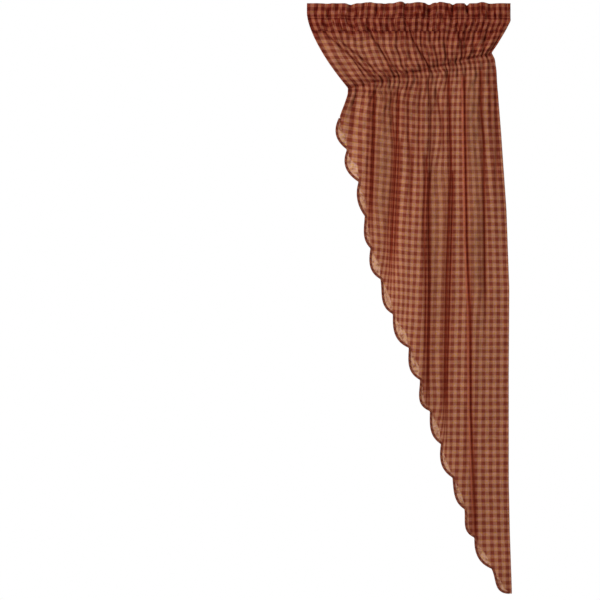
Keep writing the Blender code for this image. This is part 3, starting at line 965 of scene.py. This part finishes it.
# Painted shade in creases and gathers: a dark red the colour is multiplied by, and a darker core for the
# deepest.
CREASE_SHADE = (0.56, 0.24, 0.18, 1.0)
CREASE_CORE_SHADE = (0.74, 0.48, 0.42, 1.0)
# Painted shade that dulls a crease's lee, a painted highlight in the scallops' crescents, and a painted
# highlight on high crests.
LEE_SHADE = srgb(152, 104, 74)
CRESCENT_HIGHLIGHT = srgb(202, 156, 126)
CRESCENT_HIGHLIGHT_DARK = srgb(142, 88, 66)
CREST_HIGHLIGHT = srgb(216, 134, 102)


def gingham(name, with_painted_light=False):
    """Checked homespun cotton: streaky yarns of two colours in a plain weave, with painted light and
    shade.
    """
    look = Shading(name)
    place, across, down = look.place()

    def streaky(scales, detail, roughness=0.5):
        parts = (look.times(*pair) for pair in zip((across, down), scales))
        vector = look.node("CombineXYZ", dict(enumerate(parts)))[0]
        return look.noise(vector, 1.0, detail, roughness)

    drift = look.line(look.noise(place, 14.0), 0.0032, -0.0016)
    waves = (look.wave(look.math("ADD", value, drift), CHECK) for value in (across, down))
    warp_dark, weft_dark = (look.line(wave, 1.6, 0.5, clamp=True) for wave in waves)
    # Painted shade where the cloth lies double or in gathers; painted light shining through where it is
    # single.
    close_shade = look.attribute("close_cloth_shade")
    pale, weft, warp, dark = (look.mix(close_shade, *yarns) for yarns in zip(YARNS_LIT_THROUGH, YARNS_SHADED_CLOSE))
    colour = look.mix(weft_dark, look.mix(warp_dark, pale, warp), look.mix(warp_dark, weft, dark))
    streaks = look.math("ADD", streaky((330.0, 16.0), 3.0), streaky((16.0, 330.0), 3.0))
    fading = look.line(look.noise(place, 5.0, 3.0), 0.3, 0.85)
    tone = look.times(look.line(streaks, 0.64, 0.36), fading)
    # Painted light and shade in soft patches.
    tone = look.line(tone, look.attribute("light_and_shade_patch"), tone)
    # On the panel: a painted highlight in each scallop's crescent, painted shade in the lees of creases,
    # and a painted highlight along high crests.
    if with_painted_light:
        mottle = look.noise(place, 60.0)
        inside = look.line(mottle, 0.014, look.attribute("crescent"))
        crescent_highlight_colour = look.mix(look.ramp(mottle, 0.4, 0.68), CRESCENT_HIGHLIGHT, CRESCENT_HIGHLIGHT_DARK)
        colour = look.mix(look.ramp(inside, 0.006, 0.01, 0.0, 0.8), colour, crescent_highlight_colour)
        colour = look.mix(look.times(look.attribute("lee_shade"), 0.2), colour, LEE_SHADE)
        colour = look.mix(look.times(look.attribute("crest_highlight"), 0.55), colour, CREST_HIGHLIGHT)
    # Painted shade in the small wrinkles of gathered cloth and in the creases, darkest at their core.
    wrinkles = streaky((60.0, 13.0), 2.0, 0.6)
    wrinkle_shade = look.times(look.ramp(wrinkles, 0.52, 0.34), close_shade)
    depth = look.math("MAXIMUM", look.attribute("fold"), wrinkle_shade)
    colour = look.mix(depth, colour, CREASE_SHADE, "MULTIPLY")
    colour = look.mix(look.ramp(depth, 0.72, 1.0, 0.0, 0.8), colour, CREASE_CORE_SHADE, "MULTIPLY")
    flecks = look.line(look.noise(place, 150.0, 2.0, 0.6), 3.0, -0.5)
    tones = {0: tone, 1: tone, 2: look.times(tone, flecks)}
    colour = look.mix(1.0, colour, look.node("CombineColor", tones)[0], "MULTIPLY")
    look.set("Sheen Roughness", 0.5)
    look.set("Sheen Tint", srgb(220, 150, 120))
    weave = look.times(look.wave(across, YARN_PITCH), look.wave(down, YARN_PITCH))
    slubs = look.line(streaks, 1.2, look.times(weave, 0.35))
    creased = look.times(look.times(wrinkles, close_shade), 24.0)
    return look.finish(colour, look.math("ADD", slubs, creased), 0.55)


def bias_strip(name):
    """The dark bias strip: the same cloth cut on the slant, worn here and there."""
    look = Shading(name)
    place, across, along = look.place()
    slanted = look.wave(look.math("ADD", across, along), 0.02)
    stripe = look.line(slanted, 0.8, 0.5, clamp=True)
    worn = look.ramp(look.noise(place, 60.0, 3.0, 0.6), 0.54, 0.74, 0.0, 0.55)
    rolled = look.mix(worn, look.mix(stripe, srgb(124, 66, 47), srgb(94, 42, 30)), srgb(166, 112, 74))
    inner = look.mix(stripe, srgb(146, 86, 64), srgb(122, 60, 44))
    off_edge = look.math("ABSOLUTE", look.math("SUBTRACT", across, 0.5 * STRIP_WIDTH))
    colour = look.mix(look.ramp(off_edge, 0.0078, 0.012), rolled, inner)
    return look.finish(colour, look.noise(place, 900.0, 1.0), 0.5)


def plain(name, roughness, scale, first, second):
    """A plain material of two close colours."""
    look = Shading(name, roughness)
    place = look.node("TexCoord")["Object"]
    look.set("Base Color", look.mix(look.noise(place, scale), first, second))
    return look.material


def make_panel(material):
    """The panel's sheet, with painted shade in its creases and gathers, along the waist and by the hem.
    """
    q, drop, points, first, across, down = panel_grid()
    below = below_waist(q, drop)
    crease_shade, crest_highlights, lee_shades = creasing(q, drop)[2:5]
    # Painted shade in the gathers, along the waist's groove and in the long hem's groove.
    gather_shade = 0.6 * fold_depth(points) * near(below, 0, 0.06)
    waist_shade = (0.7 + 0.3 * np.sin(23.0 * q + 0.8) * np.sin(61.0 * q)) * near(below, 0, 0.0052)
    hem = 0.65 * groove(q - LONG_HEM, 0.004) * smooth(0.3, 0.45, drop) * smooth(0.84, 0.8, drop)
    fields = {
        "fold": np.clip(np.max((crease_shade, gather_shade, waist_shade, hem), axis=0), 0, 1),
        "crescent": crescent_field(q, drop), "close_cloth_shade": close_cloth_shade(q, drop), "crest_highlight": crest_highlights,
        "lee_shade": lee_shades, "light_and_shade_patch": painted_light_and_shade(q, drop),
    }
    return make_sheet("panel_cloth", points, first, across, down, fields, material)


def make_heading(material):
    """The sheet of the ruffle and the rod sleeve."""
    columns, drops, points, across, down = heading_grid()
    crease_shade = creasing(*np.meshgrid(columns, drops))[2]
    # Painted shade in the heading's creases and folds, and the darker shaded colours of double cloth all
    # over it.
    fold = np.clip(np.maximum(crease_shade, fold_depth(points)), 0, 1)
    fields = {"fold": fold, "close_cloth_shade": np.ones(fold.shape)}
    return make_sheet("heading_cloth", points, [0] * len(points), across, down, fields, material)


def make_hem(name, q_inner, q_outer, foot, material):
    """A side hem turned to the back, as a narrow strip behind the panel."""
    rows = (*np.arange(SLEEVE_DROP + 0.004, min(foot, 0.42), 0.005), *np.arange(0.42, foot, 0.01), foot)
    q, drop = np.meshgrid(np.linspace(q_inner, q_outer, 7), rows)
    points = hang(q, drop) - HEM_DISTANCE * FORWARD
    across = (q - q_inner) * 0.9 + 0.4
    fields = {"fold": np.zeros(q.shape), "close_cloth_shade": np.full(q.shape, 0.4)}
    return make_sheet(name, points, [0] * len(q), across, drop, fields, material)


def make_binding(material):
    """The folded bias strip over the scalloped edge."""
    rings = []
    for inset, front in BINDING_SECTION:
        place = hang_edge(inset / MM)
        step = np.arange(len(place))
        ripple = 1 + 0.25 * np.sin(step * 1.7) * np.sin(step * 0.37)
        rings.append(place + front / MM * ripple[:, None] * FORWARD)
    rings = np.stack(rings, axis=1)
    count, sides = rings.shape[:2]
    length = running(gaps(rings[:, 5], 0))
    piece = make_piece("binding", rings.reshape(-1, 3), tube_faces(count, sides), material)
    ring, side = np.divmod(np.arange((count - 1) * sides), sides)
    around = STRIP_WIDTH * (side[:, None] + (0, 1, 1, 0)) / sides
    along = length[ring[:, None] + (0, 0, 1, 1)]
    strips = 8
    reach = length[-1] / strips
    strip = np.repeat(np.minimum(length[ring] // reach, strips - 1), 4)
    end, turn = np.divmod(np.arange(2 * sides), sides)
    around = np.concatenate((around.ravel(), 0.03 + 0.001 * np.cos(turn)))
    along = np.concatenate((along.ravel(), 0.002 + 0.004 * end + 0.001 * np.sin(turn)))
    strip = np.concatenate((strip, np.zeros(2 * sides)))
    laid_out = np.stack(((around / 0.032 * 0.9 + 0.04 + strip) / strips,
                         0.01 + 0.95 * (along - strip * reach) / (reach * 1.03)), axis=1)
    add_maps(piece.data, np.stack((around, along), axis=1), np.clip(laid_out, 0.001, 0.999))
    return piece


def sew(points, faces, line):
    """Sew stitches along a line of places. Each dips into the cloth at both ends."""
    path = running(gaps(line, 0))
    for at in np.arange(0.5 * STITCH_GAP, path[-1] - STITCH, STITCH + STITCH_GAP):
        start, end = np.stack([np.interp((at, at + STITCH), path, places) for places in line.T], axis=1)
        side = np.cross((end - start) / np.linalg.norm(end - start), FORWARD)
        faces += tube_faces(len(STITCH_SECTIONS), STITCH_SIDES, len(points))
        for share, lift, size in STITCH_SECTIONS:
            for angle in math.tau * np.arange(STITCH_SIDES) / STITCH_SIDES:
                off = (lift + size * math.sin(angle)) * FORWARD + size * math.cos(angle) * side
                points.append(start + share * (end - start) + STITCH_RADIUS * off)


def make_stitches(material):
    """Every visible row of stitching, as one piece."""
    points, faces = [], []
    q = np.linspace(0.002, 0.998, 1200)
    lines = [heading_layer(q, np.full_like(q, drop)) for drop in SEAM_ROWS]
    lines += [hang(q, waist_drop(q) + offset) for offset in WAIST_ROWS]
    for column, foot in HEM_ROWS:
        drop = np.linspace(SLEEVE_DROP + 0.003, foot, 900)
        lines.append(hang(np.full_like(drop, column), drop))
    for line in lines:
        sew(points, faces, line + 0.5 * CLOTH_THICKNESS * FORWARD)
    sew(points, faces, hang_edge(BINDING_ROW) + BINDING_FRONT * FORWARD)
    return make_piece("stitches", np.array(points), faces, material)


def make_floor():
    """The plain pale floor under the curtain."""
    bpy.ops.mesh.primitive_cylinder_add(vertices=96, radius=1.3, depth=0.02, location=(0.0, 0.0, -2.31))
    floor = bpy.context.object
    floor.name = "floor"
    floor.data.materials.append(plain("pale_floor", 0.85, 3.0, srgb(232, 230, 226), srgb(240, 239, 236)))


def make_surroundings():
    """A white ground, soft light all round, one square light and the camera."""
    scene = bpy.context.scene
    scene.world = bpy.data.worlds.new("studio")
    scene.world.use_nodes = True
    tree = scene.world.node_tree
    tree.nodes.clear()
    output, shown, lighting, path, mix = (tree.nodes.new("ShaderNode" + kind) for kind in (
        "OutputWorld", "Background", "Background", "LightPath", "MixShader"))
    shown.inputs[0].default_value = (1.0, 1.0, 1.0, 1.0)
    lighting.inputs[0].default_value = (1.0, 0.99, 0.98, 1.0)
    lighting.inputs[1].default_value = 0.55
    sources = (path.outputs["Is Camera Ray"], lighting.outputs[0], shown.outputs[0])
    for source, target in zip((*sources, mix.outputs[0]), (*mix.inputs, output.inputs[0])):
        tree.links.new(source, target)
    light = bpy.data.lights.new("key", "AREA")
    light.size = 1.2
    light.energy = 120.0
    light.color = (1.0, 0.98, 0.96)
    lamp = add_object("key", light)
    lamp.location = (-3.0, -3.0, 0.6)
    lamp.rotation_euler = (math.atan2(math.hypot(3.0, 3.0), 1.5), 0.0, 1.75 * math.pi)
    scene.view_settings.view_transform = "Standard"
    camera = bpy.data.cameras.new("camera")
    camera.lens = 200.0
    camera.sensor_width = 36.0
    camera.clip_end = 50.0
    holder = add_object("camera", camera)
    holder.location = (-0.3897, -11.95, -1.0637)
    holder.rotation_euler = (0.5 * math.pi, 0.0, 0.0)
    scene.camera = holder


def main():
    """Dress the frame with every piece, and set the stage."""
    checked = gingham("gingham")
    panel = make_panel(gingham("gingham_panel", with_painted_light=True))
    heading = make_heading(checked)
    binding = make_binding(bias_strip("bias_strip"))
    long_hem = make_hem("long_hem", LONG_HEM, 0.9995, 2.08, checked)
    short_hem = make_hem("short_hem", 0.0005, SHORT_HEM, 0.4, checked)
    stitches = make_stitches(plain("thread", 0.7, 300.0, srgb(84, 28, 22), srgb(120, 52, 38)))
    for piece in (panel, heading, binding, long_hem, short_hem, stitches):
        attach(piece, "root")
    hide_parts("panel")
    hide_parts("heading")
    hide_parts("scallop_binding")
    make_floor()
    make_surroundings()


main()
